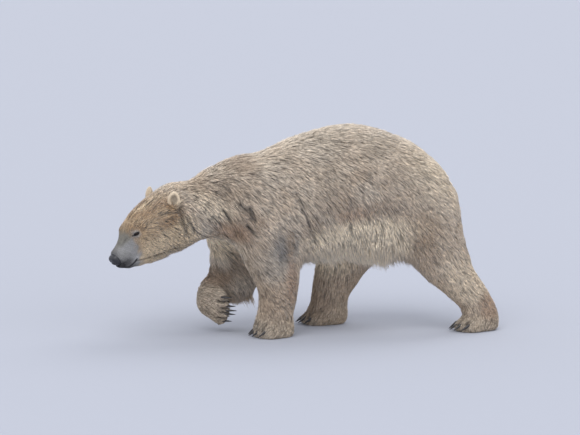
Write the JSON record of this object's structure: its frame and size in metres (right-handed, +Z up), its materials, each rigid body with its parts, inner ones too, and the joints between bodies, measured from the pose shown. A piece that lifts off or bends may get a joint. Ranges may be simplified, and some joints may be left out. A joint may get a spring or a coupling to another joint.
{
  "type": "polar bear",
  "caption": "Walking polar bear, a still life-size figure with its head lowered and one forepaw lifted; stands on its own feet.",
  "frame": {"origin": "on the floor, at the middle of the model's box seen from above", "axes": "-X towards the head, +Y to the bear's right, +Z up"},
  "size_m": [2.3322, 0.6678, 1.2319],
  "materials": {
    "coat": "thick matt fur, cream to tan with darker underfur",
    "face": "short close fur, golden tan",
    "nose": "moist pebbled black skin",
    "eye": "wet gloss, dark brown",
    "claw": "satin black horn"
  },
  "bodies": {
    "root": {"trunk": "coat", "tail": "coat", "neck": "coat", "nose": "nose", "eye_left": "eye", "ear_left": "face", "eye_right": "eye", "ear_right": "face", "head": "face", "foreleg_left_upper": "coat", "foreleg_left_lower": "coat", "foreleg_left_foot": "coat", "foreleg_left_claw_1": "claw", "foreleg_left_claw_2": "claw", "foreleg_left_claw_3": "claw", "foreleg_left_claw_4": "claw", "foreleg_left_claw_5": "claw", "foreleg_right_upper": "coat", "foreleg_right_lower": "coat", "foreleg_right_foot": "coat", "foreleg_right_claw_1": "claw", "foreleg_right_claw_2": "claw", "foreleg_right_claw_3": "claw", "foreleg_right_claw_4": "claw", "foreleg_right_claw_5": "claw", "hindleg_left_upper": "coat", "hindleg_left_lower": "coat", "hindleg_left_foot": "coat", "hindleg_left_claw_1": "claw", "hindleg_left_claw_2": "claw", "hindleg_left_claw_3": "claw", "hindleg_left_claw_4": "claw", "hindleg_left_claw_5": "claw", "hindleg_right_upper": "coat", "hindleg_right_lower": "coat", "hindleg_right_foot": "coat", "hindleg_right_claw_1": "claw", "hindleg_right_claw_2": "claw", "hindleg_right_claw_3": "claw", "hindleg_right_claw_4": "claw", "hindleg_right_claw_5": "claw"}
  },
  "joints": []
}
